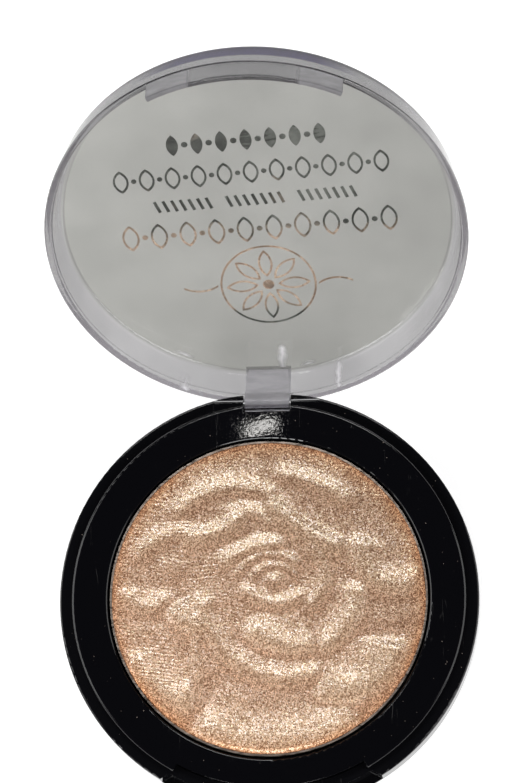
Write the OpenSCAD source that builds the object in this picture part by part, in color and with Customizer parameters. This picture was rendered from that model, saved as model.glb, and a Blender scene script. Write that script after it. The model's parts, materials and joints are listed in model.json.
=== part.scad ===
// Round pressed-powder compact: a black two-part base that holds a metal pan of powder,
// and a clear hinged lid that snaps shut at the front.
// The origin is the centre of the flat underside. +Z is up, the hinge is towards +Y and the
// latch towards -Y. The lid is drawn closed and then turned open about the hinge pin.

/* [Base] */
// Outside diameter of the base
base_d = 78; // [77:0.5:80]
// Height of the raised deck above the table
deck_h = 10.2; // [10:0.1:11]
// How far the shoulder under the lid rim lies below the deck
deck_step = 1.6; // [1.4:0.1:1.8]
// Width of the shoulder ring that the lid rim closes on
shoulder_w = 2.4; // [2.3:0.1:2.6]
// Thickness of the moulded floor and walls
base_wall = 1.6; // [1.3:0.1:1.8]
// Radius of the rounded bottom edge
foot_round = 3; // [1.5:0.5:3.5]

/* [Pan and powder] */
// Outside diameter of the metal pan
pan_d = 59; // [56:0.5:60]
// Height of the metal pan
pan_h = 4.5; // [3.8:0.1:4.8]
// Thickness of the pan's sheet metal
pan_t = 0.35; // [0.25:0.05:0.5]
// How far the pan's rim lies below the deck
pan_drop = 0.3; // [0.1:0.1:0.6]
// Thickness of the adhesive under the pan
glue_t = 0.2; // [0.1:0.05:0.3]
// How far the powder's middle stands above the pan rim
powder_dome = 0.5; // [0:0.1:0.8]

/* [Lid] */
// Height of the closed lid above its rim
lid_h = 7.5; // [7:0.1:8]
// Thickness of the lid's wall at the rim
lid_wall = 1.3; // [1.1:0.1:1.4]
// Thickness of the lid's top plate
lid_top = 1.2; // [1:0.1:1.6]
// Angle in degrees that the wall leans in towards the top
lid_draft = 10; // [7:0.5:12]
// Radius of the lid's rounded top edge
lid_round = 2; // [1.2:0.1:2.4]
// Angle that the lid stands open, 0 being closed
lid_open = 130; // [0:5:130]

/* [Hinge] */
// Diameter of the steel hinge pin
pin_d = 1.4; // [1.2:0.1:1.5]
// Length of the hinge pin
pin_len = 16; // [14:0.5:16]
// Distance of the pin from the base's outer edge
pin_inset = 1.8; // [1.8:0.05:1.9]
// Width of the lid's hinge lug
lug_w = 8.4; // [7:0.1:9]
// Widest angle to which the lid opens
lid_open_max = 135; // [130:1:135]

/* [Latch] */
// Half of the angle that the lid's latch skirt spans
skirt_half = 27; // [20:1:27]
// Depth of the latch skirt below the lid rim
skirt_depth = 4.4; // [3.8:0.1:4.6]
// Length of the snap bead along the skirt
bead_len = 14; // [8:1:18]
// How far the snap bead stands in from the skirt
bead_out = 0.45; // [0.35:0.05:0.5]

/* [Decoration] */
// Thickness of the printed foil
foil_t = 0.05; // [0.04:0.01:0.08]
// Radius of the foil ring round the flower
rosette_r = 9; // [6:0.2:9.2]
// Angle that the print sits askew on the lid
print_turn = 4; // [0:1:6]

/* [Hidden] */
$fn = 180;

slop = 0.1;                      // running gap between closed parts
cut = 1;                         // overshoot of a cutting shape past the material
reach_out = 10;                  // depth of a block that has to pass the base's back edge

base_r = base_d / 2;
shoulder_z = deck_h - deck_step;
deck_r = base_r - shoulder_w;
cavity_r = deck_r - 1.4;
rim_z = shoulder_z + slop;

pan_r = pan_d / 2;
pan_top = deck_h - pan_drop;
pan_z = pan_top - pan_h;
well_r = pan_r + 0.4;
well_z = pan_z - glue_t;
tray_t = 1;
tray_z = well_z - tray_t;

lid_r = base_r - 0.2;
lid_top_z = rim_z + lid_h;
lid_in_r = lid_r - lid_wall;
lid_edge = 0.3;                  // rounding along the rim and the skirt
lid_lean = (lid_h - lid_round) * tan(lid_draft);

pin_r = pin_d / 2;
pin_y = base_r - pin_inset;
pin_z = shoulder_z - pin_inset - slop;
barrel_r = pin_inset;
lug_gap = 0.25;
notch_half = lug_w / 2 + lug_gap;
notch_y = pin_y - barrel_r - 0.3;
relief_half = 10;                // half width of the hollow that the open lid swings into
block_half = 11;                 // half width of the solid block that carries the pin
press = 0.01;                    // radial interference of the pin in the base
running = 0.05;                  // radial gap of the pin in the lid's lug

skirt_z = rim_z - skirt_depth;
bead_z = skirt_z + 0.42 * skirt_depth;
bead_half_h = 1.2;
ledge_r = lid_in_r - bead_out + 0.2;
undercut_r = ledge_r - 0.5;
thumb_y = 31.9 / 39 * base_r;    // where the thumb recess meets the deck's edge
thumb_half = 18;                 // half width of the thumb recess there

foil_line = 0.4;                 // width of a thin printed line

label_r = 20.6;
label_t = 0.1;
label_recess = 0.15;

// Where a point [y, z] of the closed lid goes when the lid has turned by angle a
function opened(p, a) =
    let (d = p - [pin_y, pin_z])
    [pin_y + d.x * cos(a) + d.y * sin(a), pin_z - d.x * sin(a) + d.y * cos(a)];

// Turns a closed lid part open about the pin
module open_lid() {
    translate([0, pin_y, pin_z])
        rotate([-lid_open, 0, 0])
            translate([0, -pin_y, -pin_z])
                children();
}

// Half section of a disc, with its lower and upper outer corners rounded
module disc_section(r, z0, z1, low, high) {
    translate([0, z0])
        square([r - low, z1 - z0 - high]);
    translate([0, z0 + low])
        square([r, z1 - z0 - low - high]);
    translate([0, z0 + low])
        square([r - high, z1 - z0 - low]);
    if (low > 0)
        translate([r - low, z0 + low])
            circle(low);
    if (high > 0)
        translate([r - high, z1 - high])
            circle(high);
}

// Half section of a ring whose edge towards z0 has both corners rounded
module ring_section(r0, r1, z0, z1, edge) {
    up = z1 > z0;
    low = min(z0, z1);
    tall = abs(z1 - z0);
    corner_z = up ? z0 + edge : z0 - edge;
    translate([r0 + edge, low])
        square([r1 - r0 - 2 * edge, tall]);
    translate([r0, up ? corner_z : low])
        square([r1 - r0, tall - edge]);
    for (r = [r0 + edge, r1 - edge])
        translate([r, corner_z])
            circle(edge);
}

// Half section of a dome with a leaning wall and a rounded top corner
module dome_section(r, z0, z1, lean, high) {
    centre = [r - (z1 - high - z0) * tan(lean) - high / cos(lean), z1 - high];
    touch = centre + high * [cos(lean), sin(lean)];
    polygon([[0, z0], [r, z0], touch, [centre.x, z1], [0, z1]]);
    translate(centre)
        circle(high);
}

// A prism along X, given its outline in Y and Z
module along_x(half, outline) {
    translate([-half, 0, 0])
        rotate([90, 0, 90])
            linear_extrude(2 * half)
                polygon(outline);
}

// Sweeps a section in radius and height round the front, through the latch
module front_arc(half_angle) {
    rotate([0, 0, -90 - half_angle])
        rotate_extrude(angle = 2 * half_angle)
            children();
}

// A cylinder along the hinge axis
module on_hinge_axis(r, x0, x1) {
    translate([x0, pin_y, pin_z])
        rotate([0, 90, 0])
            cylinder(r = r, h = x1 - x0, $fn = 64);
}

// Plan of the thumb recess, flaring towards the outside
module thumb_plan() {
    flare = [2.5, 1.3];
    far = thumb_y + 4 * flare.y;
    right = [
        [thumb_half - 0.8, -thumb_y + 1.4],
        [thumb_half, -thumb_y],
        [thumb_half + 3 * flare.x, -thumb_y - 3 * flare.y],
        [thumb_half + 3 * flare.x, -far - base_wall * 2]
    ];
    left = [for (i = [len(right) - 1:-1:0]) [-right[i].x, right[i].y]];
    polygon(concat(right, left));
}

// ---- Base shell ----

module shell_body() {
    rotate_extrude()
        difference() {
            disc_section(base_r, 0, shoulder_z, foot_round, 0.4);
            disc_section(cavity_r, base_wall, deck_h, 1.5, 0);
        }
}

// Solid block at the back that carries the hinge pin
module hinge_block() {
    upper_r = base_r - 0.4;
    lower_r = cavity_r + 0.5;
    intersection() {
        translate([-block_half, notch_y - base_wall, foot_round])
            cube([2 * block_half, reach_out, shoulder_z - foot_round]);
        cylinder(r = upper_r, h = deck_h);
    }
    intersection() {
        translate([-block_half, notch_y - base_wall, base_wall / 2])
            cube([2 * block_half, reach_out, foot_round]);
        cylinder(r = lower_r, h = deck_h);
    }
}

// Ring and spokes on the floor that hold the tray up
module tray_supports() {
    rib = 1.1;
    ring_r = 20;
    reach = well_r - 0.5;
    foot = base_wall - 0.2;
    difference() {
        translate([0, 0, foot])
            cylinder(r = ring_r + rib, h = tray_z - foot);
        cylinder(r = ring_r, h = deck_h);
    }
    for (i = [0:7])
        rotate([0, 0, 22.5 + 45 * i])
            translate([ring_r + rib / 2, -rib / 2, foot])
                cube([reach - ring_r, rib, tray_z - foot]);
}

// Hollow under the knuckle that the open lid's rim swings into, without the knuckle itself
function relief_outline() =
    let (rim = opened([lid_r, rim_z], lid_open_max),
         wall = opened([lid_r - lid_lean, lid_top_z - lid_round], lid_open_max),
         slope = (wall.y - rim.y) / (wall.x - rim.x),
         gap = 0.3,
         far_y = base_r + cut)
    [
        [pin_y, rim.y + slope * (pin_y - rim.x) - gap],
        [far_y, rim.y + slope * (far_y - rim.x) - gap],
        [far_y, deck_h + cut],
        [pin_y, deck_h + cut]
    ];

module hinge_relief() {
    difference() {
        along_x(relief_half, relief_outline());
        on_hinge_axis(pin_inset, -relief_half - cut, relief_half + cut);
    }
}

// Notch that the lid's lug turns in
module hinge_notch() {
    along_x(notch_half, relief_outline());
    translate([-notch_half, notch_y, pin_z - barrel_r - lug_gap])
        cube([2 * notch_half, pin_y - notch_y + slop, deck_h]);
}

// Recess at the front that the latch skirt drops into, with the ledge its bead catches under
module latch_recess() {
    floor_z = skirt_z - 0.5;
    ledge_low = bead_z + bead_half_h + slop;
    intersection() {
        linear_extrude(deck_h + cut)
            thumb_plan();
        rotate_extrude()
            polygon([
                [ledge_r, deck_h + cut],
                [ledge_r, ledge_low + 0.4],
                [undercut_r, ledge_low],
                [undercut_r, floor_z + 0.5],
                [undercut_r + 0.5, floor_z],
                [base_r + cut, floor_z - 0.2],
                [base_r + cut, deck_h + cut]
            ]);
    }
}

module base_shell() {
    color([0.05, 0.05, 0.055])
        difference() {
            union() {
                shell_body();
                hinge_block();
                tray_supports();
            }
            hinge_relief();
            hinge_notch();
            latch_recess();
            on_hinge_axis(pin_r - press, -pin_len / 2, base_r);
            translate([0, 0, -cut])
                cylinder(r = label_r + 0.4, h = cut + label_recess);
        }
}

// ---- Deck tray ----

module tray_body() {
    rotate_extrude() {
        ring_section(well_r, deck_r, deck_h, shoulder_z, 0.5);
        translate([well_r, tray_z])
            square([tray_t, shoulder_z + 0.5 - tray_z]);
        translate([0, tray_z])
            square([well_r + tray_t / 2, tray_t]);
    }
}

// Two curved tongues that locate the tray in the shell's mouth
module tray_tongues() {
    reach = 1.8;
    width = 0.9;
    for (side = [0, 180])
        rotate([0, 0, side - 50])
            rotate_extrude(angle = 100)
                translate([cavity_r - slop - width, shoulder_z - reach])
                    square([width, reach + 0.2]);
}

module deck_tray() {
    thumb_r = deck_r - 1.5;
    color([0.04, 0.04, 0.045])
        difference() {
            union() {
                tray_body();
                tray_tongues();
            }
            translate([-notch_half, notch_y, -cut])
                cube([2 * notch_half, reach_out, deck_h + 2 * cut]);
            difference() {
                translate([0, 0, shoulder_z - cut])
                    linear_extrude(deck_h)
                        thumb_plan();
                cylinder(r = thumb_r, h = 2 * deck_h);
            }
        }
}

// ---- Pan, adhesive, powder, label ----

module powder_pan() {
    corner = 0.8;
    color([0.78, 0.78, 0.8])
        rotate_extrude()
            difference() {
                disc_section(pan_r, pan_z, pan_top, corner, 0);
                disc_section(pan_r - pan_t, pan_z + pan_t, pan_top + cut, corner - pan_t, 0);
            }
}

module pan_adhesive() {
    color([0.9, 0.88, 0.8])
        translate([0, 0, well_z])
            cylinder(r = pan_r * 0.7, h = glue_t);
}

// Pressed powder: flat under, gently domed on top
module powder_cake() {
    gap = 0.02;
    r = pan_r - pan_t - gap;
    bottom = pan_z + pan_t + gap;
    corner = 0.5;
    edge_z = pan_top - 0.3;
    steps = 10;
    color([0.86, 0.7, 0.58])
        rotate_extrude()
            polygon(concat(
                [[0, bottom], [r - corner, bottom], [r, bottom + corner], [r, edge_z]],
                [for (i = [0:steps - 1])
                    let (t = 1 - i / steps)
                    [(r - 0.3) * t, edge_z + 0.2 + (powder_dome + 0.1) * (1 - t * t)]],
                [[0, edge_z + 0.3 + powder_dome]]
            ));
}

module base_label() {
    color([0.93, 0.92, 0.9])
        translate([0, 0, label_recess - label_t])
            cylinder(r = label_r, h = label_t);
}

// ---- Hinge pin ----

module hinge_pin() {
    tip = 0.2;
    color([0.7, 0.7, 0.72])
        translate([-pin_len / 2, pin_y, pin_z])
            rotate([0, 90, 0])
                rotate_extrude($fn = 64)
                    polygon([
                        [0, 0], [pin_r - tip, 0], [pin_r, tip],
                        [pin_r, pin_len - tip], [pin_r - tip, pin_len], [0, pin_len]
                    ]);
}

// ---- Lid, drawn closed ----

module lid_dome() {
    in_round = lid_round - lid_wall * 0.7;
    widen = cut * tan(lid_draft);
    rotate_extrude()
        difference() {
            intersection() {
                dome_section(lid_r + widen, rim_z - cut, lid_top_z, lid_draft, lid_round);
                union() {
                    ring_section(lid_in_r, lid_r, rim_z, rim_z + 2, lid_edge);
                    translate([0, rim_z + 1])
                        square([base_r, lid_h]);
                }
            }
            dome_section(lid_in_r + widen, rim_z - cut, lid_top_z - lid_top, lid_draft, in_round);
        }
}

// Clear block from the barrel up the inside of the back wall to the top plate
module hinge_lug() {
    half = lug_w / 2;
    half_top = half - 0.5;
    front_y = pin_y - barrel_r;
    top_z = lid_top_z - lid_top / 2;
    back_r = lid_r - 0.2;
    intersection() {
        translate([0, base_r, 0])
            rotate([90, 0, 0])
                linear_extrude(base_r - front_y)
                    polygon([[-half, pin_z], [half, pin_z], [half_top, top_z], [-half_top, top_z]]);
        rotate_extrude()
            polygon([
                [0, pin_z - cut], [back_r, pin_z - cut], [back_r, rim_z + lid_edge],
                [back_r - lid_lean - 0.7, top_z], [0, top_z]
            ]);
    }
    on_hinge_axis(barrel_r, -half, half);
}

// Snap bead with a rounded section, on the inside of the skirt
module snap_bead() {
    half_angle = asin(bead_len / 2 / lid_in_r);
    bulge = (bead_half_h * bead_half_h + bead_out * bead_out) / (2 * bead_out);
    root_r = lid_in_r + lid_wall / 2;
    front_arc(half_angle)
        intersection() {
            translate([lid_in_r - bead_out + bulge, bead_z])
                circle(bulge);
            translate([0, bead_z - bead_half_h])
                square([root_r, 2 * bead_half_h]);
        }
}

module latch_skirt() {
    in_r = lid_in_r + 0.06;
    out_r = lid_r - 0.2;
    root_z = rim_z + 0.8;
    front_arc(skirt_half)
        ring_section(in_r, out_r, skirt_z, root_z, lid_edge);
    snap_bead();
}

module clear_lid() {
    color([0.75, 0.76, 0.76, 0.35])
        open_lid()
            difference() {
                union() {
                    lid_dome();
                    hinge_lug();
                    latch_skirt();
                }
                on_hinge_axis(pin_r + running, -lug_w, lug_w);
            }
}

// ---- Foil decoration on the outside of the lid ----

// Pointed leaf along Y, from two crossing circles
module leaf(length, width) {
    r = (length * length + width * width) / (4 * width);
    intersection() {
        translate([r - width / 2, 0])
            circle(r, $fn = 96);
        translate([width / 2 - r, 0])
            circle(r, $fn = 96);
    }
}

// Leaf drawn as a thin line
module leaf_outline(length, width) {
    difference() {
        leaf(length, width);
        leaf(length - 3 * foil_line, width - 2 * foil_line);
    }
}

// Row of n motifs centred on X: a leaf, then a dot, and so on
module foil_row(y, width, n, dot_r) {
    pitch = width / (n - 1);
    for (i = [0:n - 1])
        translate([-width / 2 + i * pitch, y])
            if (i % 2 == 0)
                children();
            else
                circle(dot_r);
}

// Row of slanting bars in three groups
module foil_bars(y, width, tall) {
    groups = 3;
    bars = 7;
    bar_w = 0.6;
    slant = 18;
    group_w = width / groups;
    pitch = group_w * 0.12;
    for (g = [0:groups - 1], i = [0:bars - 1])
        translate([-width / 2 + group_w * (g + 0.5) + (i - (bars - 1) / 2) * pitch, y])
            rotate(-slant)
                square([bar_w, tall], center = true);
}

// Curved line along X, the top of a circle
module foil_stroke(length, r) {
    intersection() {
        difference() {
            circle(r);
            circle(r - foil_line);
        }
        translate([-length / 2, 0])
            square([length, r + cut]);
    }
}

// Flower of thin petals in a ring, with a curved line on either side
module foil_rosette(y, r) {
    petals = 8;
    stroke_len = 6.4;
    stroke_r = 6;
    stroke_x = r + stroke_len / 2 + 0.4;
    translate([0, y]) {
        difference() {
            circle(r);
            circle(r - foil_line);
        }
        circle(r * 0.12);
        for (i = [0:petals - 1])
            rotate(360 / petals * i)
                translate([0, r * 0.54])
                    leaf_outline(r * 0.68, r * 0.3);
        for (side = [0, 1])
            rotate(180 * side)
                translate([-stroke_x, 0.6 - stroke_r])
                    foil_stroke(stroke_len, stroke_r);
    }
}

// The rows run from the latch to the hinge, each given by its place along Y and its width
module foil_print() {
    rosette_y = 16;
    color([0.72, 0.66, 0.62])
        open_lid()
            translate([0, 0, lid_top_z])
                rotate(-print_turn)
                    linear_extrude(foil_t) {
                        foil_row(-17, 27, 13, 0.6)
                            leaf(4.6, 2.2);
                        foil_row(-9.8, 48, 21, 0.5)
                            leaf_outline(5, 2.9);
                        foil_bars(-3.6, 40, 2.6);
                        foil_row(3, 48, 19, 0.55)
                            leaf_outline(5.8, 3.2);
                        foil_rosette(rosette_y, rosette_r);
                    }
}

base_shell();
deck_tray();
powder_pan();
pan_adhesive();
powder_cake();
hinge_pin();
base_label();
clear_lid();
foil_print();
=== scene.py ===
"""An open compact of pressed powder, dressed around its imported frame.

Lengths are in metres; MM turns a detail's size in millimetres into metres. The frame gives the
place and size of every part, and this script adds the powder's relief, the materials, the floor,
the lights and the camera.
"""
import json
import math

import bpy
import numpy as np
from mathutils import Euler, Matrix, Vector


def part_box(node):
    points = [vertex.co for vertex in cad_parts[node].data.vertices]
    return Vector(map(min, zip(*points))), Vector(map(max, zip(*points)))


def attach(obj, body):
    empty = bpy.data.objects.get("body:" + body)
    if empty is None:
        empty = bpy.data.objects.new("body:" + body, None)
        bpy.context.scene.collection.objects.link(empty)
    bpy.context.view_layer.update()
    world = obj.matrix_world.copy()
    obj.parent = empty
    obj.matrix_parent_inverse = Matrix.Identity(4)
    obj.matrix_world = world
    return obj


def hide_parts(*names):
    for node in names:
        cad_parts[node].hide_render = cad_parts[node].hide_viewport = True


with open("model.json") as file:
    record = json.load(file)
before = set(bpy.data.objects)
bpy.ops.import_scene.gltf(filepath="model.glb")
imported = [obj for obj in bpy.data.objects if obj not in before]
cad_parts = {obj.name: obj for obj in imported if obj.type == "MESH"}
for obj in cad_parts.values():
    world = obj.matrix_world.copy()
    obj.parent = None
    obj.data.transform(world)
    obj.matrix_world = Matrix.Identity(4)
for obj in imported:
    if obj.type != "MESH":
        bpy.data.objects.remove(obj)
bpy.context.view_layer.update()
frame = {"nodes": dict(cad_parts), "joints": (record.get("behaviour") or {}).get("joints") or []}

MM = 0.001


# ---- Sizes taken from the frame ----

def half_width(node):
    low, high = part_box(node)
    return (high.x - low.x) / 2


CAKE_LOW_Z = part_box("powder_cake")[0].z
CAKE_R = half_width("powder_cake")
PAN_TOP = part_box("powder_pan")[1].z
UNDERSIDE_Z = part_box("base_shell")[0].z
HINGE = next(joint for joint in frame["joints"] if joint["name"] == "lid_hinge")
HINGE_AT = Vector(HINGE["pos_m"])
OPEN_ANGLE = math.radians(-HINGE["range_deg"][0])
RIM_ABOVE_PIN = 2.0 * MM
LID_RIM_Z = HINGE_AT.z + RIM_ABOVE_PIN   # with the lid closed


# ---- Powder relief ----

class Petal:
    """One petal lip of the pressed flower: a soft ridge along an arc, in millimetres.

    The arc runs through three points. The ridge has one width on the side of the arc's centre
    and another on its outer side, and it fades out past the two ends.
    """

    def __init__(self, start, middle, end, height, inward, outward):
        self.centre = arc_centre(start, middle, end)
        self.radius = math.dist(self.centre, middle)
        self.middle = self.heading(middle)
        self.half_span = max(self.turn_to(start), self.turn_to(end))
        self.height = height
        self.inward = inward
        self.outward = outward

    def heading(self, point):
        return math.atan2(point[1] - self.centre[1], point[0] - self.centre[0])

    def turn_to(self, point):
        turn = self.heading(point) - self.middle
        return abs(math.atan2(math.sin(turn), math.cos(turn)))

    def lip(self, x, y):
        dx = x - self.centre[0]
        dy = y - self.centre[1]
        from_lip = np.hypot(dx, dy) - self.radius
        width = np.where(from_lip < 0, self.inward, self.outward)
        turn = np.arctan2(dy, dx) - self.middle
        turn = np.abs(np.arctan2(np.sin(turn), np.cos(turn)))
        past_end = np.maximum(turn - self.half_span, 0) * self.radius
        return self.height * np.exp(-(from_lip / width) ** 2 - (past_end / LIP_FADE) ** 2)


def arc_centre(a, b, c):
    """Centre of the circle through three points."""
    ax, ay = a[0] - c[0], a[1] - c[1]
    bx, by = b[0] - c[0], b[1] - c[1]
    double_area = 2 * (ax * by - ay * bx)
    a_square = ax * ax + ay * ay
    b_square = bx * bx + by * by
    return (c[0] + (by * a_square - ay * b_square) / double_area,
            c[1] + (ax * b_square - bx * a_square) / double_area)


# Sizes of the relief are in millimetres
LIP_FADE = 1.8
PETALS = [
    # Round the bud
    Petal((-2.0, 4.6), (1.2, 6.0), (4.1, 4.8), 0.22, 0.9, 1.0),
    Petal((-4.8, 5.6), (-0.6, 8.1), (4.6, 6.6), 0.26, 0.8, 1.1),
    Petal((-3.9, 1.0), (0.5, -1.2), (5.0, -0.4), 0.34, 1.5, 1.2),
    Petal((8.6, 9.0), (10.6, 3.8), (9.3, -0.2), 0.42, 1.7, 1.2),
    Petal((-7.4, 7.2), (-3.2, 9.2), (1.5, 9.9), 0.46, 1.0, 1.9),
    Petal((-2.8, -6.8), (2.0, -8.9), (6.8, -9.0), 0.66, 3.0, 1.6),
    # Towards the hinge
    Petal((-14.2, 11.8), (-9.6, 12.6), (-5.4, 14.6), 0.52, 1.5, 2.3),
    Petal((-6.2, 14.6), (-3.0, 15.9), (-0.6, 15.0), 0.42, 1.5, 2.0),
    Petal((1.6, 16.8), (6.4, 13.0), (12.6, 9.6), 0.60, 1.6, 2.6),
    Petal((-16.2, 16.6), (-8.6, 20.6), (-0.8, 19.8), 0.46, 1.4, 1.9),
    Petal((3.3, 22.9), (9.0, 21.2), (13.2, 19.0), 0.42, 1.4, 1.8),
    Petal((-23.8, 8.6), (-20.2, 11.2), (-16.8, 12.4), 0.42, 1.6, 1.9),
    # Right side
    Petal((17.0, 9.4), (20.4, 2.5), (26.0, 1.7), 0.60, 3.4, 1.8),
    Petal((11.2, -9.0), (15.0, -5.0), (16.8, 0.6), 0.60, 2.8, 1.5),
    Petal((13.4, -18.4), (18.5, -16.9), (23.6, -10.5), 0.85, 5.4, 2.0),
    # Towards the latch
    Petal((-11.0, -5.0), (-4.8, -12.6), (8.4, -14.4), 0.46, 2.0, 1.8),
    Petal((-12.6, -26.0), (1.5, -28.6), (15.6, -25.6), 0.92, 6.4, 3.0),
    # Left side
    Petal((-25.0, -12.0), (-21.0, -16.4), (-16.5, -18.5), 0.68, 4.0, 2.8),
    Petal((-13.4, -7.0), (-13.4, -14.0), (-12.4, -21.0), 0.30, 1.2, 1.0),
    Petal((-17.6, -3.0), (-15.2, -4.6), (-12.4, -4.9), 0.62, 4.6, 1.4),
    Petal((-26.0, 0.4), (-23.0, -1.4), (-20.5, -1.0), 0.44, 2.0, 1.6),
]
BUD_AT = (1.3, 3.3)
BUD_HEIGHT = 0.34
BUD_WIDTH = 1.5
RIB_PITCH = 0.66
RIB_HEIGHT = 0.018
RIB_SLOPE = 0.13
DOME_HEIGHT = 0.1
WAVE_HEIGHT = 0.035
GRAIN_HEIGHT = 0.006
SUNK = 0.25         # depth of the hollows between the petals, below the zero level
BELOW_RIM = 0.05    # depth of the zero level below the pan's rim
EDGE_DROP = 0.25    # depth of the cake's outermost points below the zero level
EDGE_ROUND = 0.9
CAKE_STEPS = 306


def soft_noise(x, y, wavelength, seed, waves=14):
    """Smooth random heights of about unit size, from waves in seeded directions."""
    draw = np.random.default_rng(seed)
    total = np.zeros_like(x)
    for _ in range(waves):
        heading = draw.uniform(0, 2 * math.pi)
        count = draw.uniform(0.6, 1.6) * 2 * math.pi / wavelength
        along = x * math.cos(heading) + y * math.sin(heading)
        total += np.sin(count * along + draw.uniform(0, 2 * math.pi))
    return total / math.sqrt(waves / 2)


def petal_relief(x, y):
    """Height of the flower in millimetres: where lips meet, the higher one wins softly."""
    sharpness = 4
    total = np.zeros_like(x)
    for petal in PETALS:
        total += petal.lip(x, y) ** sharpness
    from_bud = np.hypot(x - BUD_AT[0], y - BUD_AT[1])
    bud = BUD_HEIGHT * np.exp(-(from_bud / BUD_WIDTH) ** 2)
    return (total + bud ** sharpness) ** (1 / sharpness)


def press_ribs(x, y):
    """Ribs that the press cloth leaves: wavy lines across, strong in patches and towards the left."""
    bend = 0.4 * soft_noise(x, y, 16, 11) + 0.04 * soft_noise(x, y, 2.2, 12)
    ribs = np.sin(2 * math.pi * (y + RIB_SLOPE * x + bend) / RIB_PITCH)
    patches = np.clip(0.45 + 0.3 * soft_noise(x, y, 11, 13) - 0.02 * x, 0.1, 1.0)
    breaks = np.clip(0.85 + 0.3 * soft_noise(x, y, 1.7, 15), 0.0, 1.4)
    return RIB_HEIGHT * ribs * patches * breaks


def powder_height(x, y, radius):
    """Height of the cake's top above its zero level, at a place in millimetres."""
    share = np.hypot(x, y) / radius
    dome = DOME_HEIGHT * (1 - share ** 2)
    edge = np.clip((1 - share) * radius / EDGE_ROUND, 0, 1) ** 0.5
    grain = np.random.default_rng(5).normal(0, GRAIN_HEIGHT, x.shape)
    waves = WAVE_HEIGHT * soft_noise(x, y, 9, 14)
    relief = petal_relief(x, y) - SUNK + waves + press_ribs(x, y) + grain
    return (dome + relief) * edge - EDGE_DROP * (1 - edge)


def disc_grid(radius, steps):
    """A square grid of points bent into a disc, so that its cells stay even."""
    ticks = np.linspace(-1, 1, steps + 1)
    u, v = np.meshgrid(ticks, ticks)
    wide = np.abs(u) > np.abs(v)
    reach = np.where(wide, u, v)
    safe = np.where(reach == 0, 1, reach)
    turn = np.where(wide, v / safe, 2 - u / safe) * math.pi / 4
    return radius * reach * np.cos(turn), radius * reach * np.sin(turn)


def grid_faces(steps):
    """Corner numbers of each cell of a square grid, anticlockwise."""
    row = steps + 1
    first = (np.arange(steps)[:, None] * row + np.arange(steps)[None, :]).ravel()
    return np.stack([first, first + 1, first + row + 1, first + row], axis=1)


def grid_border(steps):
    """Corner numbers once round the outside of a square grid, anticlockwise."""
    row = steps + 1
    bottom = np.arange(steps)
    right = np.arange(steps) * row + steps
    top = steps * row + steps - np.arange(steps)
    left = (steps - np.arange(steps)) * row
    return np.concatenate([bottom, right, top, left])


def mesh_object(name, points, faces):
    mesh = bpy.data.meshes.new(name)
    mesh.from_pydata(points, [], faces)
    mesh.validate()
    mesh.update()
    made = bpy.data.objects.new(name, mesh)
    bpy.context.scene.collection.objects.link(made)
    return made


def build_powder():
    """The pressed cake: a relief on top, a wall and a flat bottom, in one closed mesh."""
    radius = CAKE_R / MM
    x, y = disc_grid(radius, CAKE_STEPS)
    zero_level = PAN_TOP / MM - BELOW_RIM
    z = zero_level + powder_height(x, y, radius)
    top = np.stack([x.ravel(), y.ravel(), z.ravel()], axis=1)
    border = grid_border(CAKE_STEPS)
    base = top[border].copy()
    base[:, 2] = CAKE_LOW_Z / MM
    count = len(border)
    first_base = len(top)
    walls = [
        (border[i], first_base + i, first_base + (i + 1) % count, border[(i + 1) % count])
        for i in range(count)
    ]
    bottom = tuple(range(first_base + count - 1, first_base - 1, -1))
    points = np.concatenate([top, base]) * MM
    faces = [tuple(face) for face in grid_faces(CAKE_STEPS)] + walls + [bottom]
    cake = mesh_object("pressed_powder", points.tolist(), faces)
    smooth = np.ones(len(cake.data.polygons), bool)
    smooth[-1] = False
    cake.data.polygons.foreach_set("use_smooth", smooth)
    cake.data.set_sharp_from_angle(angle=math.radians(60))
    return cake


# ---- Materials ----

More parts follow.
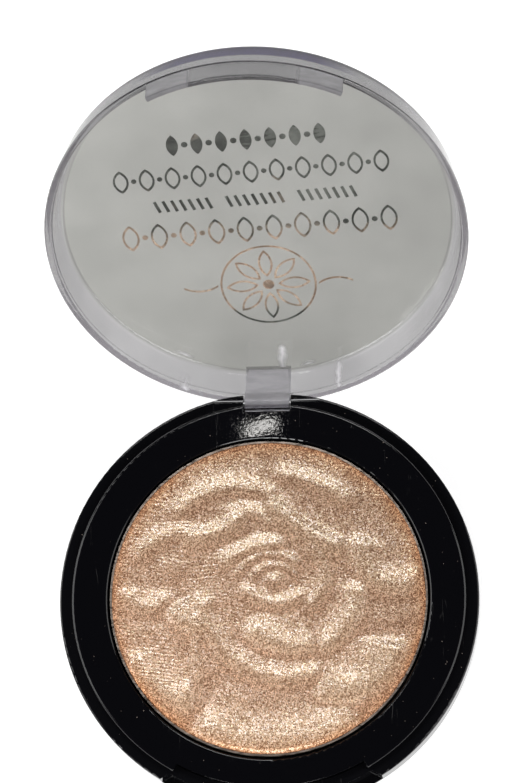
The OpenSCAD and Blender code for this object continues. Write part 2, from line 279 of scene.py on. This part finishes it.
class Graph:
    """Builds one material's node tree with short calls."""

    def __init__(self, name):
        self.material = bpy.data.materials.new(name)
        self.material.use_nodes = True
        self.tree = self.material.node_tree
        self.tree.nodes.clear()
        self.output = self.tree.nodes.new("ShaderNodeOutputMaterial")

    def feed(self, socket, value):
        if isinstance(value, bpy.types.NodeSocket):
            self.tree.links.new(value, socket)
        else:
            socket.default_value = value

    def node(self, kind, inputs=None, **settings):
        made = self.tree.nodes.new("ShaderNode" + kind)
        for key, value in settings.items():
            setattr(made, key, value)
        for key, value in (inputs or {}).items():
            self.feed(made.inputs[key], value)
        return made

    def math(self, operation, a, b=0.0, c=0.0):
        made = self.node("Math", operation=operation)
        for socket, value in zip(made.inputs, (a, b, c)):
            self.feed(socket, value)
        return made.outputs[0]

    def vector(self, operation, a, b=(0.0, 0.0, 0.0)):
        made = self.node("VectorMath", operation=operation)
        self.feed(made.inputs[0], a)
        self.feed(made.inputs[1], b)
        return made.outputs[0]

    def scaled(self, a, scale):
        made = self.node("VectorMath", operation="SCALE")
        self.feed(made.inputs[0], a)
        self.feed(made.inputs[3], scale)
        return made.outputs[0]

    def mix(self, factor, a, b):
        """Blend of two colours."""
        made = self.node("Mix", data_type="RGBA")
        self.feed(made.inputs[0], factor)
        self.feed(made.inputs[6], a)
        self.feed(made.inputs[7], b)
        return made.outputs[2]

    def ramp(self, factor, low, high, start=0.0, end=1.0):
        """factor taken from low..high to start..end, and held there."""
        made = self.node("MapRange", clamp=True)
        for socket, value in zip(made.inputs, (factor, low, high, start, end)):
            self.feed(socket, value)
        return made.outputs[0]

    def noise(self, at, size, detail=3.0, roughness=0.5):
        """Cloud noise whose blobs are about size metres across."""
        made = self.node("TexNoise", {"Vector": at, "Scale": 1 / size,
                                      "Detail": detail, "Roughness": roughness})
        return made.outputs["Fac"]

    def cells(self, at, size):
        """Random cells about size metres across."""
        return self.node("TexVoronoi", {"Vector": at, "Scale": 1 / size})

    def bump(self, height, distance, strength=1.0, normal=None):
        made = self.node("Bump", {"Height": height, "Distance": distance, "Strength": strength})
        if normal is not None:
            self.feed(made.inputs["Normal"], normal)
        return made.outputs[0]

    def product(self, *factors):
        """Product of factors: of masks, it is 1 where all of them are 1."""
        total = factors[0]
        for factor in factors[1:]:
            total = self.math("MULTIPLY", total, factor)
        return total

    def far_from(self, value, centre):
        """How far a value lies from the centre, on either side."""
        return self.math("ABSOLUTE", self.math("SUBTRACT", value, centre))

    def length(self, x, y):
        return self.math("SQRT", self.math("ADD", self.math("POWER", x, 2.0),
                                           self.math("POWER", y, 2.0)))

    def split(self, vector):
        """The x, y and z sockets of a vector."""
        return self.node("SeparateXYZ", {"Vector": vector}).outputs

    def blend(self, factor, first, second):
        """Blend of two shaders."""
        made = self.node("MixShader", {"Fac": factor})
        self.feed(made.inputs[1], first)
        self.feed(made.inputs[2], second)
        return made.outputs[0]

    def place(self):
        """Where the shaded point is, in the frame, in metres."""
        return self.node("TexCoord").outputs["Object"]

    def finish(self, shader):
        self.feed(self.output.inputs["Surface"], shader)
        return self.material


def colour(red, green, blue):
    return (red, green, blue, 1.0)


def stretched(g, at, turn, across, along):
    """Coordinates turned about Z and stretched, so that round noise becomes streaks."""
    made = g.node("Mapping", {"Vector": at, "Rotation": (0, 0, turn),
                              "Scale": (1 / across, 1 / along, 1 / across)})
    return made.outputs[0]


def scratches(g, at, turn, spacing, seed_shift):
    """A few long hair scratches in one direction: 1 on a scratch and 0 off it."""
    shifted = g.vector("ADD", at, (seed_shift, seed_shift * 0.7, 0))
    streaks = stretched(g, shifted, turn, spacing, spacing * 14)
    cells = g.node("TexVoronoi", {"Vector": streaks, "Scale": 1.0}, feature="DISTANCE_TO_EDGE")
    line = g.ramp(cells.outputs["Distance"], 0.0, 0.008, 1.0, 0.0)
    keep = g.ramp(g.noise(shifted, 7 * MM), 0.62, 0.68)
    return g.product(line, keep)


MOULDED_EDGE = 0.14 * MM
SCRATCH_GREY = colour(0.35, 0.34, 0.33)
POWDER_DUST = colour(0.5, 0.42, 0.36)


def gloss_black(name, tone):
    """Polished black styrene with rounded moulded edges, hair scratches and specks of powder.

    Handling has rubbed its surface uneven near the hinge.
    """
    g = Graph(name)
    at = g.place()
    marks = scratches(g, at, 0.5, 3.1 * MM, 0.01)
    marks = g.math("MAXIMUM", marks, scratches(g, at, -0.9, 4.3 * MM, 0.04))
    marks = g.math("MAXIMUM", marks, scratches(g, at, 1.7, 3.7 * MM, 0.07))
    specks = g.product(g.ramp(g.cells(at, 1.3 * MM).outputs["Distance"], 0.05, 0.09, 1.0, 0.0),
                       g.ramp(g.noise(at, 5 * MM), 0.5, 0.62))
    base = g.mix(g.product(marks, 0.08), colour(*tone), SCRATCH_GREY)
    base = g.mix(g.product(specks, 0.5), base, POWDER_DUST)
    rough = g.ramp(g.noise(at, 6 * MM, 5.0, 0.6), 0.35, 0.7, 0.015, 0.04)
    rough = g.math("ADD", rough, g.product(marks, 0.3))
    edge = g.node("Bevel", {"Radius": MOULDED_EDGE}, samples=6).outputs[0]
    waviness = g.bump(g.noise(at, 9 * MM, 2.0), 0.03 * MM, 0.2, edge)
    near_hinge = g.ramp(g.split(at)[1], 22 * MM, 30 * MM, 0.15, 1.0)
    rubbed = g.bump(g.noise(at, 0.5 * MM, 2.0), 0.002 * MM, near_hinge, waviness)
    skin = g.bump(marks, 0.006 * MM, 0.5, rubbed)
    shader = g.node("BsdfPrincipled", {"Base Color": base, "Roughness": rough, "IOR": 1.5,
                                       "Normal": skin})
    return g.finish(shader.outputs[0])


# Powder colours, with painted light and shade: darker in the hollows and lighter on the lips, darker and
# more copper at the rim, and of the pearl in both places, also darker at the rim
SHADED_HOLLOW_ROSE = colour(0.44, 0.25, 0.157)
LIT_LIP_CHAMPAGNE = colour(0.50, 0.322, 0.21)
SHADED_RIM_COPPER = colour(0.42, 0.19, 0.09)
PEARL = colour(1.0, 0.88, 0.68)
SHADED_RIM_PEARL = colour(0.8, 0.46, 0.27)
# Each flake multiplies its colour by something between these two
FLAKE_DARK = colour(0.42, 0.31, 0.24)
FLAKE_LIGHT = colour(2.1, 2.2, 2.15)
FLAKE_SIZE = 0.20 * MM
FLAKE_TILT = 0.20
CLUMP_SIZE = 0.5 * MM
CLUMP_TILT = 0.07
SPECK_SIZE = 0.42 * MM
PEARL_PATCH = 0.3 * MM


def powder_body(g, at, rim):
    """Colour of the powder before its flakes, with painted light and shade: lighter on the lips, darker
    in the hollows, and darker and more copper at the rim.
    """
    # Painted light and shade: lighter on the lips, darker in the hollows.
    height = g.ramp(g.split(at)[2], PAN_TOP - 0.2 * MM, PAN_TOP + 0.5 * MM)
    body = g.mix(height, SHADED_HOLLOW_ROSE, LIT_LIP_CHAMPAGNE)
    # Painted shade: darker and more copper towards the rim.
    body = g.mix(g.product(rim, 0.85), body, SHADED_RIM_COPPER)
    speck = g.ramp(g.noise(at, SPECK_SIZE, 3.0, 0.7), 0.3, 0.7, 0.8, 1.2)
    return g.scaled(body, speck)


def flake_cast(g, at, flakes):
    """Colour factor of each flake, with painted light: lighter towards the latch and the left, darker
    towards the hinge and the right.
    """
    place = g.split(at)
    # Painted light: lighter towards the latch and the left.
    painted_light_falloff = g.ramp(g.math("MULTIPLY_ADD", place[0], 0.5, place[1]), -26 * MM, 26 * MM, 1.3, 0.87)
    own = g.split(flakes.outputs["Color"])[2]
    return g.scaled(g.mix(g.math("POWER", own, 1.6), FLAKE_DARK, FLAKE_LIGHT), painted_light_falloff)


def flake_normal(g, at, flakes):
    """Normals tilted at random, flake by flake and clump by clump."""
    middle = (0.5, 0.5, 0.5)
    tilt = g.scaled(g.vector("SUBTRACT", flakes.outputs["Color"], middle), FLAKE_TILT)
    clumps = g.cells(at, CLUMP_SIZE)
    clump_tilt = g.scaled(g.vector("SUBTRACT", clumps.outputs["Color"], middle), CLUMP_TILT)
    normal = g.node("NewGeometry").outputs["Normal"]
    return g.vector("NORMALIZE", g.vector("ADD", normal, g.vector("ADD", tilt, clump_tilt)))


def pearl_share(g, at, radius):
    """Share of pearl in the mix: less at the very edge, and less where the view is grazing."""
    share = g.ramp(g.noise(at, PEARL_PATCH, 2.0), 0.3, 0.7, 0.2, 0.4)
    edge = g.ramp(radius, CAKE_R - 1.2 * MM, CAKE_R - 0.4 * MM, 1.0, 0.3)
    grazing = g.node("LayerWeight").outputs["Facing"]
    return g.product(share, edge, g.ramp(grazing, 0.3, 0.85, 1.0, 0.15))


def powder_material():
    """Pearl powder with flakes, in painted light and shade: lighter champagne on the lips, darker rose in
    the hollows and darker copper at the rim.
    """
    g = Graph("pearl_powder")
    at = g.place()
    radius = g.length(*g.split(at)[:2])
    rim = g.product(g.ramp(radius, CAKE_R - 3.6 * MM, CAKE_R - 0.2 * MM),
                    g.ramp(g.noise(at, 7 * MM), 0.3, 0.65, 0.45, 1.0))
    flakes = g.cells(at, FLAKE_SIZE)
    cast = flake_cast(g, at, flakes)
    matte = g.node("BsdfPrincipled", {"Base Color": g.vector("MULTIPLY", powder_body(g, at, rim), cast),
                                      "Roughness": 0.7, "Specular IOR Level": 0.2})
    # The pearl is darker and more copper at the rim: painted shade.
    sparkle = g.mix(rim, PEARL, SHADED_RIM_PEARL)
    pearl = g.node("BsdfPrincipled", {"Base Color": g.vector("MULTIPLY", sparkle, cast),
                                      "Metallic": 1.0, "Roughness": 0.34,
                                      "Normal": flake_normal(g, at, flakes)})
    return g.finish(g.blend(pearl_share(g, at, radius), matte.outputs[0], pearl.outputs[0]))


# Casts of the lid's parts as they look against the table, partly grey plastic and partly painted shade,
# and of the lid over the base
LID_TOP_TINT_AND_SHADE = (0.362, 0.362, 0.343)
LID_WALL_TINT_AND_SHADE = (0.40, 0.395, 0.40)
LID_LUG_TINT_AND_SHADE = colour(0.48, 0.475, 0.495)
# Painted violet shade on the wall's top at the latch side
PAINTED_VIOLET_SHADE = colour(0.040, 0.032, 0.078)
LID_OVER_BASE = colour(0.86, 0.86, 0.85)
# Haze colour, also brightened into painted highlights at the glints
LID_MILK_AND_GLINTS = (0.48, 0.47, 0.49)
# Inside the lid: the cast past the first surface, and the glow that ends a ray after three bounces
LID_INNER_TINT = colour(0.96, 0.96, 0.96)
LID_DEEP_GLOW = colour(0.95, 0.92, 0.97)
LID_DEEP_GLOW_STRENGTH = 0.75
LAST_BOUNCE = 3.5
# What a shadow or diffuse ray keeps as it passes straight through one surface
LID_PASS = colour(0.93, 0.93, 0.93)
LID_IOR = 1.4
# Places on the closed lid
LID_TOP_R = 35.7 * MM
LUG_FROM_Y = 35.2 * MM
LUG_HALF = 4.25 * MM
LATCH_Y = -34 * MM
# Painted highlights near the hinge, on the lid's corner and wall
GLINTS = [
    # Place along X, half width, and the radii between which it lies, in millimetres
    (2.8, 1.0, 29.5, 35.3),
    (7.8, 1.8, 34.2, 35.4),
    (13.5, 0.8, 35.7, 37.8),
    (-15.5, 2.0, 34.3, 35.4),
    (-15.5, 1.4, 36.8, 38.4),
]


def closed_place(g, at):
    """x, y and z of a place on the open lid, as if the lid were closed."""
    closed = g.node("VectorRotate", {"Vector": at, "Center": tuple(HINGE_AT),
                                     "Angle": OPEN_ANGLE}, rotation_type="X_AXIS")
    return g.split(closed.outputs[0])


def on_lug(g, x, y):
    """1 on the hinge lug of the closed lid, and 0 elsewhere."""
    return g.product(g.ramp(y, LUG_FROM_Y, LUG_FROM_Y + 0.1 * MM),
                     g.math("LESS_THAN", g.math("ABSOLUTE", x), LUG_HALF))


def wall_tint_and_shade(g, y, height):
    """Cast of the lid's wall: painted shade, darker at the latch side, and a little darker on the skirt.
    """
    tint = g.scaled(LID_WALL_TINT_AND_SHADE, g.ramp(y, -38 * MM, 34 * MM, 0.6, 1.12))
    skirt = g.product(g.ramp(height, -0.3 * MM, 0.0, 1.0, 0.0),
                      g.ramp(y, LATCH_Y, LATCH_Y + 4 * MM, 1.0, 0.0))
    return g.scaled(tint, g.ramp(skirt, 0.0, 1.0, 1.0, 0.95))


def lid_tint(g, at):
    """Cast of the lid where the eye's ray enters it: each part of the moulding has its own, part grey
    plastic and part painted shade.

    Beyond the hinge the lid shows grey against the table, and over the base it is clear.
    """
    x, y, z = closed_place(g, at)
    height = g.math("SUBTRACT", z, LID_RIM_Z)
    radius = g.length(x, y)
    # Painted light: the top is lighter on the left and darker on the right.
    top_tint_and_shade = g.scaled(LID_TOP_TINT_AND_SHADE, g.ramp(x, -34 * MM, 34 * MM, 1.07, 0.94))
    wall = g.ramp(radius, LID_TOP_R - 0.1 * MM, LID_TOP_R + 0.7 * MM)
    cast = g.mix(wall, top_tint_and_shade, wall_tint_and_shade(g, y, height))
    # A painted dark line along the bend from the top into the wall.
    painted_bend_shade = g.ramp(g.far_from(radius, LID_TOP_R), 0.08 * MM, 0.3 * MM, 0.8, 1.0)
    cast = g.scaled(cast, painted_bend_shade)
    # The wall's top at the latch side is painted in violet shade.
    corner = g.product(wall, g.ramp(height, 2.4 * MM, 2.8 * MM),
                       g.ramp(y, LATCH_Y - 2 * MM, LATCH_Y + 2 * MM, 1.0, 0.0))
    cast = g.mix(corner, cast, PAINTED_VIOLET_SHADE)
    # Over the base, the lid drops its painted grey shade.
    seen_at = g.split(g.node("NewGeometry").outputs["Position"])
    over_base = g.ramp(seen_at[1], HINGE_AT.y - 4 * MM, HINGE_AT.y, 1.0, 0.0)
    cast = g.mix(over_base, cast, LID_OVER_BASE)
    lug = g.product(on_lug(g, x, y), g.ramp(height, 5.9 * MM, 6.2 * MM, 1.0, 0.0))
    cast = g.mix(lug, cast, LID_LUG_TINT_AND_SHADE)
    return g.scaled(cast, g.ramp(g.noise(at, 16 * MM, 2.0), 0.35, 0.65, 0.93, 1.04))


def glints(g, at, x, y):
    """1 on painted highlights near the hinge, laid where the lid's corner would catch the room's lights,
    and 0 off them.
    """
    radius = g.length(x, y)
    wobble = g.ramp(g.noise(at, 2.5 * MM), 0.3, 0.7, -0.3 * MM, 0.3 * MM)
    waved_x = g.math("ADD", x, wobble)
    total = 0.0
    for place, half, near, far in GLINTS:
        spot = g.product(g.ramp(g.far_from(waved_x, place * MM), 0.0, half * MM, 1.0, 0.0),
                         g.ramp(radius, near * MM, (near + 1.0) * MM),
                         g.ramp(radius, (far - 0.3) * MM, far * MM, 1.0, 0.0))
        total = g.math("MAXIMUM", spot, total)
    return g.product(total, g.ramp(y, 20 * MM, 24 * MM))


def milky_lug(g, at, x, y):
    """1 on the hinge lug, as far as its pin, and 0 elsewhere."""
    short_of_pin = g.ramp(g.split(at)[1], HINGE_AT.y - 0.7 * MM, HINGE_AT.y - 0.3 * MM)
    return g.product(on_lug(g, x, y), short_of_pin)


def milky_skirt(g, x, y, z):
    """1 on the two ends of the latch skirt, beside the bead, and 0 elsewhere."""
    return g.product(g.ramp(z, LID_RIM_Z - 0.3 * MM, LID_RIM_Z, 1.0, 0.0),
                     g.ramp(y, LATCH_Y, LATCH_Y + 6 * MM, 1.0, 0.0),
                     g.ramp(g.math("ABSOLUTE", x), 9.2 * MM, 10.2 * MM))


def edge_lines(g):
    """1 along the sharp edges of a part and 0 on its faces."""
    rounded = g.node("Bevel", {"Radius": 0.22 * MM}, samples=4).outputs[0]
    made = g.node("VectorMath", operation="DOT_PRODUCT")
    g.feed(made.inputs[0], rounded)
    g.feed(made.inputs[1], g.node("NewGeometry").outputs["Normal"])
    return g.ramp(made.outputs["Value"], 0.75, 0.97, 1.0, 0.0)


def lid_glass(g, at, x, y, entering):
    """Refraction with the lid's cast, darkened along sharp edges as painted shade, and a gloss that is
    duller on the far wall's two sides.
    """
    # Painted shade: the cast is darker along sharp edges.
    cast = g.scaled(lid_tint(g, at), g.ramp(edge_lines(g), 0.0, 1.0, 1.0, 0.6))
    tint = g.mix(entering, LID_INNER_TINT, cast)
    rub = g.ramp(g.noise(at, 4 * MM, 6.0, 0.7), 0.42, 0.75, 0.0, 0.05)
    ripples = g.bump(g.noise(at, 11 * MM, 2.0), 0.05 * MM, 0.3)
    bent = g.node("BsdfRefraction", {"Color": tint, "IOR": LID_IOR, "Roughness": rub,
                                     "Normal": ripples})
    dulling = g.ramp(g.math("ABSOLUTE", x), 8 * MM, 24 * MM, 0.15, 0.5)
    far_wall = g.ramp(y, -37 * MM, -15 * MM, 1.0, 0.0)
    gloss = g.math("SUBTRACT", 1.0, g.product(dulling, far_wall))
    shine = g.node("BsdfAnisotropic", {"Color": g.scaled((1, 1, 1), gloss), "Roughness": 0.04,
                                       "Normal": ripples})
    fresnel = g.node("Fresnel", {"IOR": LID_IOR}).outputs[0]
    return g.blend(fresnel, bent.outputs[0], shine.outputs[0])


def add_milk_and_glints(g, at, place, entering, glass):
    """The glass with its milky places, the hinge lug and the skirt's ends, and with the glints as painted
    highlights.
    """
    x, y, z = place
    streaks = g.noise(stretched(g, at, 0.0, 4 * MM, 1.2 * MM), 1.0, 3.0)
    cloud = g.ramp(streaks, 0.35, 0.65, 0.86, 1.1)
    # Painted highlights: the glints turn the haze nearly white.
    glint = g.product(glints(g, at, x, y), entering)
    milk_and_glints = g.node("BsdfDiffuse", {"Color": g.scaled(LID_MILK_AND_GLINTS, g.math("MULTIPLY_ADD", glint, 0.9, cloud))})
    share = g.math("MAXIMUM", g.product(milky_lug(g, at, x, y), 0.55),
                   g.product(milky_skirt(g, x, y, z), 0.3))
    share = g.math("MAXIMUM", share, g.product(glint, 0.7))
    return g.blend(share, glass, milk_and_glints.outputs[0])


def clear_plastic():
    """Clear styrene: refraction and gloss, with the cast laid on where the eye's ray enters.

    Deep inside the walls the light counts as an even glow, as it does in a bright room. Shadow
    and diffuse rays pass straight through, so that the lid casts almost no shadow.
    """
    g = Graph("clear_styrene")
    at = g.place()
    path = g.node("LightPath").outputs
    entering = g.math("LESS_THAN", path["Transmission Depth"], 0.5)
    place = closed_place(g, at)
    glass = lid_glass(g, at, place[0], place[1], entering)
    hazy = add_milk_and_glints(g, at, place, entering, glass)
    glow = g.node("Emission", {"Color": LID_DEEP_GLOW, "Strength": LID_DEEP_GLOW_STRENGTH})
    deep = g.math("GREATER_THAN", path["Ray Depth"], LAST_BOUNCE)
    lit = g.blend(deep, hazy, glow.outputs[0])
    through = g.node("BsdfTransparent", {"Color": LID_PASS})
    indirect = g.math("MAXIMUM", path["Is Shadow Ray"], path["Is Diffuse Ray"])
    return g.finish(g.blend(indirect, lit, through.outputs[0]))


def metal(name, tone, rough, grain_size, stretch):
    """Bare metal with drawn streaks."""
    g = Graph(name)
    at = g.place()
    streaks = g.noise(stretched(g, at, 0.0, grain_size * stretch, grain_size), 1.0, 4.0)
    shade = g.ramp(streaks, 0.3, 0.7, 0.8, 1.15)
    base = g.scaled(tone, shade)
    roughness = g.ramp(streaks, 0.3, 0.7, rough * 0.7, rough * 1.4)
    skin = g.bump(streaks, 0.01 * MM, 0.4)
    shader = g.node("BsdfPrincipled", {"Base Color": base, "Metallic": 1.0,
                                       "Roughness": roughness, "Normal": skin})
    return g.finish(shader.outputs[0])


def foil_material():
    """Hot-stamped foil: grey silver that warms to rose gold towards the flower, and worn."""
    g = Graph("stamped_foil")
    at = g.place()
    along = g.split(at)[1]
    flower = g.product(g.ramp(along, 53.5 * MM, 56 * MM), g.ramp(along, 64 * MM, 69 * MM, 1.0, 0.0))
    warmth = g.math("ADD", g.product(flower, 0.5), g.noise(at, 8 * MM, 2.0))
    base = g.mix(g.ramp(warmth, 0.6, 0.85), colour(0.22, 0.23, 0.22), colour(1.0, 0.78, 0.64))
    streak = g.ramp(g.noise(at, 2.2 * MM, 3.0), 0.35, 0.65, 0.7, 1.25)
    shader = g.node("BsdfPrincipled", {"Base Color": g.scaled(base, streak), "Metallic": 0.15,
                                       "Roughness": 0.42})
    return g.finish(shader.outputs[0])


def paper_material():
    """Blank satin label with a faint fibre."""
    g = Graph("label_stock")
    at = g.place()
    fibre = g.noise(at, 0.5 * MM, 6.0, 0.7)
    base = g.mix(g.ramp(fibre, 0.3, 0.7), colour(0.80, 0.79, 0.76), colour(0.88, 0.87, 0.85))
    shader = g.node("BsdfPrincipled", {"Base Color": base, "Roughness": 0.45,
                                       "Normal": g.bump(fibre, 0.02 * MM, 0.3)})
    return g.finish(shader.outputs[0])


def glue_material():
    """Yellowish hot glue with a lumpy skin."""
    g = Graph("hot_glue")
    at = g.place()
    blobs = g.noise(at, 3 * MM, 3.0)
    base = g.mix(blobs, colour(0.62, 0.57, 0.45), colour(0.75, 0.71, 0.6))
    shader = g.node("BsdfPrincipled", {"Base Color": base, "Roughness": 0.5,
                                       "Normal": g.bump(blobs, 0.2 * MM, 0.4)})
    return g.finish(shader.outputs[0])


def floor_material():
    """White paper over a light table, bright enough to lose its shadows."""
    g = Graph("lit_paper")
    at = g.place()
    fibre = g.noise(at, 1.5 * MM, 5.0, 0.6)
    base = g.mix(fibre, colour(0.5, 0.5, 0.5), colour(0.54, 0.54, 0.54))
    shader = g.node("BsdfPrincipled", {"Base Color": base, "Roughness": 0.9,
                                       "Emission Color": colour(1, 1, 1),
                                       "Emission Strength": 0.74})
    return g.finish(shader.outputs[0])


def dress(piece, material):
    piece.data.materials.clear()
    piece.data.materials.append(material)


# ---- Stage ----

def softbox(name, at, aim, width, height, power, tint=(1.0, 1.0, 1.0)):
    """A rectangle of light at a place, aimed at another place."""
    light = bpy.data.lights.new(name, "AREA")
    light.shape = "RECTANGLE"
    light.size = width
    light.size_y = height
    light.energy = power
    light.color = tint
    made = bpy.data.objects.new(name, light)
    made.location = at
    made.rotation_euler = (Vector(aim) - Vector(at)).to_track_quat("-Z", "Y").to_euler()
    bpy.context.scene.collection.objects.link(made)
    return made


FLOOR_REACH = 3.0
FLOOR_GAP = 0.02 * MM


def build_stage():
    """A white floor, four softboxes, and a small lamp that glares on the deck below the lug."""
    low = UNDERSIDE_Z - FLOOR_GAP
    corners = [(-FLOOR_REACH, -FLOOR_REACH, low), (FLOOR_REACH, -FLOOR_REACH, low),
               (FLOOR_REACH, FLOOR_REACH, low), (-FLOOR_REACH, FLOOR_REACH, low)]
    floor = mesh_object("paper_floor", corners, [(0, 1, 2, 3)])
    dress(floor, floor_material())
    middle = (0, 0.02, 0)
    softbox("left_softbox", (-0.85, 0.05, 0.45), middle, 0.8, 0.8, 5.0)
    softbox("right_softbox", (0.85, 0.05, 0.42), middle, 0.8, 0.8, 3.9)
    softbox("front_softbox", (-0.08, -0.8, 0.42), middle, 0.6, 0.4, 6.8)
    softbox("key_softbox", (-0.05, 0.42, 0.62), middle, 0.5, 0.14, 2.0)
    softbox("lamp", (-0.0345, 0.1315, 0.51), (0, 0.03, 0), 0.010, 0.0035, 0.0019, (1.0, 0.98, 0.95))


WALL_LIGHT = 0.5
CEILING_LIGHT = 0.05
LIGHT_BEHIND_GLASS = 0.9


def build_world():
    """White walls that darken to a dim ceiling, so that flat gloss black stays black.

    What is seen through the clear lid is lit evenly instead, so that its edges stay grey.
    """
    world = bpy.data.worlds.new("studio")
    world.use_nodes = True
    tree = world.node_tree
    sky = tree.nodes["Background"]
    direction = tree.nodes.new("ShaderNodeTexCoord")
    height = tree.nodes.new("ShaderNodeSeparateXYZ")
    fade = tree.nodes.new("ShaderNodeMapRange")
    fade.inputs["From Min"].default_value = 0.35
    fade.inputs["From Max"].default_value = 0.9
    fade.inputs["To Min"].default_value = WALL_LIGHT
    fade.inputs["To Max"].default_value = CEILING_LIGHT
    path = tree.nodes.new("ShaderNodeLightPath")
    through = tree.nodes.new("ShaderNodeMath")
    through.operation = "GREATER_THAN"
    through.inputs[1].default_value = 0.5
    choice = tree.nodes.new("ShaderNodeMix")
    choice.inputs["B"].default_value = LIGHT_BEHIND_GLASS
    tree.links.new(direction.outputs["Generated"], height.inputs[0])
    tree.links.new(height.outputs["Z"], fade.inputs["Value"])
    tree.links.new(path.outputs["Transmission Depth"], through.inputs[0])
    tree.links.new(through.outputs[0], choice.inputs["Factor"])
    tree.links.new(fade.outputs[0], choice.inputs["A"])
    tree.links.new(choice.outputs[0], sky.inputs["Strength"])
    bpy.context.scene.world = world


CAMERA_AT = (0.0502, -0.1208, 0.7772)
CAMERA_TURN = (11.7, 4.0, -0.55)
CAMERA_LENS = 193.1


def build_camera():
    camera = bpy.data.cameras.new("camera")
    camera.lens = CAMERA_LENS
    camera.clip_start = 0.01
    made = bpy.data.objects.new("camera", camera)
    made.location = CAMERA_AT
    made.rotation_euler = Euler([math.radians(turn) for turn in CAMERA_TURN], "XYZ")
    bpy.context.scene.collection.objects.link(made)
    bpy.context.scene.camera = made


# ---- The model ----

powder = build_powder()
dress(powder, powder_material())
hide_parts("powder_cake")
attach(powder, "base")

nodes = frame["nodes"]
dress(nodes["base_shell"], gloss_black("shell_black", (0.004, 0.004, 0.005)))
dress(nodes["deck_tray"], gloss_black("deck_black", (0.003, 0.003, 0.004)))
dress(nodes["powder_pan"], metal("pan_aluminium", (0.50, 0.42, 0.36), 0.34, 0.4 * MM, 6))
dress(nodes["hinge_pin"], metal("pin_steel", (0.55, 0.55, 0.56), 0.3, 0.2 * MM, 10))
dress(nodes["pan_adhesive"], glue_material())
dress(nodes["base_label"], paper_material())
dress(nodes["clear_lid"], clear_plastic())
dress(nodes["foil_print"], foil_material())

build_stage()
build_world()
build_camera()
bpy.context.scene.view_settings.view_transform = "Standard"
